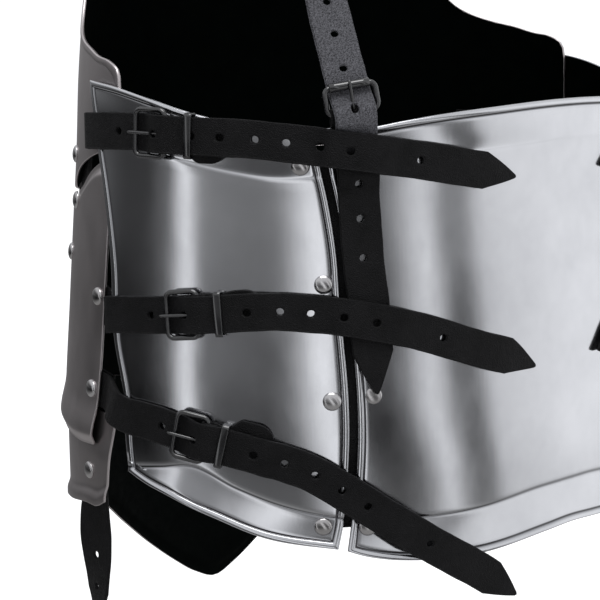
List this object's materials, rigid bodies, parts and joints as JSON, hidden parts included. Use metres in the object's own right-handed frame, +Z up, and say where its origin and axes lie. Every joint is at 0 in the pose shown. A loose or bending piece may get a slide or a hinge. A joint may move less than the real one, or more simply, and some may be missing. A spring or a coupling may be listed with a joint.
{
  "type": "steel cuirass",
  "caption": "Steel cuirass for the upper body: breastplate, plackart and fauld lame in front, a low back band, closed by buckled black leather straps.",
  "frame": {"origin": "on the axis of the trunk, level with the lowest edge of the back band near its side seams", "axes": "+Z up along the body, the wearer faces -Y, the wearer's left side is +X"},
  "size_m": [0.3682, 0.2993, 0.5168],
  "materials": {
    "polished_steel": "polished, with faint forging waves and dark blotches",
    "front_steel": "satin outside, black paint inside",
    "black_fitting": "semi-gloss black with worn bright edges",
    "leather": "black, fine grain, soft sheen"
  },
  "bodies": {
    "root": {"breastplate": "front_steel", "plackart": "front_steel", "fauld_lame": "front_steel", "back_plate": "polished_steel", "side_plate_left": "polished_steel", "side_plate_right": "polished_steel", "seam_leather_left": "leather", "seam_leather_right": "leather", "front_leather_left": "leather", "front_leather_right": "leather", "strap_upper_left": "leather", "strap_upper_right": "leather", "strap_middle_left": "leather", "strap_middle_right": "leather", "strap_lower_left": "leather", "strap_lower_right": "leather", "shoulder_strap_left": "leather", "shoulder_strap_right": "leather", "hanging_strap_left": "leather", "hanging_strap_right": "leather", "buckle_upper_left": "black_fitting", "buckle_upper_right": "black_fitting", "buckle_middle_left": "black_fitting", "buckle_middle_right": "black_fitting", "buckle_lower_left": "black_fitting", "buckle_lower_right": "black_fitting", "shoulder_buckle_left": "black_fitting", "shoulder_buckle_right": "black_fitting", "prong_upper_left": "black_fitting", "prong_upper_right": "black_fitting", "prong_middle_left": "black_fitting", "prong_middle_right": "black_fitting", "prong_lower_left": "black_fitting", "prong_lower_right": "black_fitting", "shoulder_prong_left": "black_fitting", "shoulder_prong_right": "black_fitting", "keeper_upper_left": "black_fitting", "keeper_upper_right": "black_fitting", "keeper_middle_left": "black_fitting", "keeper_middle_right": "black_fitting", "keeper_lower_left": "black_fitting", "keeper_lower_right": "black_fitting", "chape_upper_left": "leather", "chape_upper_right": "leather", "chape_middle_left": "leather", "chape_middle_right": "leather", "chape_lower_left": "leather", "chape_lower_right": "leather", "shoulder_chape_left": "leather", "shoulder_chape_right": "leather"}
  },
  "joints": []
}
